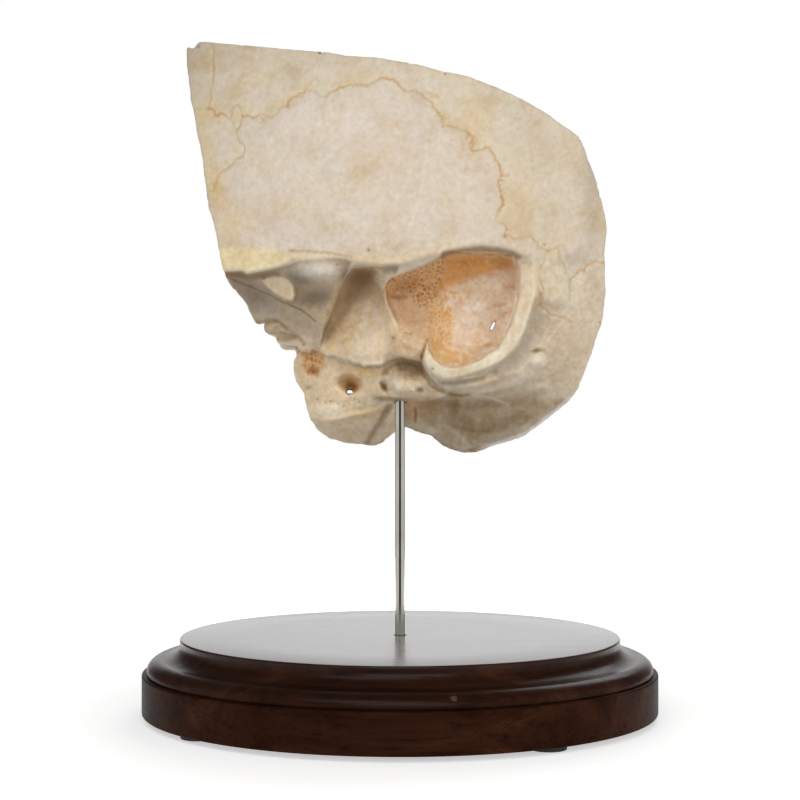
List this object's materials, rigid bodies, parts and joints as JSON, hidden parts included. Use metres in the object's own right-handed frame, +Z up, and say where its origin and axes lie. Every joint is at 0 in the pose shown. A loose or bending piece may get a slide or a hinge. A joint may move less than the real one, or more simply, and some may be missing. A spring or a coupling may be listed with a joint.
{
  "type": "mounted human skull specimen",
  "caption": "Sawn left half of a human skull base and lower vault, mastoid drilled open, on a steel rod in a turned wooden plinth.",
  "frame": {"origin": "middle of the plinth, on the plane that its feet stand on", "axes": "+Z up along the rod, +X towards the back of the head, +Y from the outside of the head towards its middle plane"},
  "size_m": [0.134, 0.134, 0.1777],
  "materials": {
    "bone": "dry bleached bone, satin where it is smooth",
    "stained_wood": "dark stain under a satin lacquer",
    "steel": "drawn and polished lengthwise",
    "rubber": "matte"
  },
  "bodies": {
    "plinth": {"plinth": "stained_wood", "foot_1": "rubber", "foot_2": "rubber", "foot_3": "rubber", "foot_4": "rubber"},
    "rod": {"support_rod": "steel"},
    "skull": {"temporal_bone": "bone", "parietal_bone": "bone", "frontal_bone": "bone", "sphenoid_bone": "bone", "occipital_bone": "bone", "sutural_bone": "bone"}
  },
  "joints": [
    {"name": "swivel", "type": "hinge", "parent": "plinth", "child": "rod", "pos_m": [0, 0, 0.0207], "axis": [0, 0, 1], "continuous": true},
    {"name": "lift_off", "type": "slide", "parent": "rod", "child": "skull", "axis": [0, 0, 1], "range_m": [0, 0.03]}
  ]
}
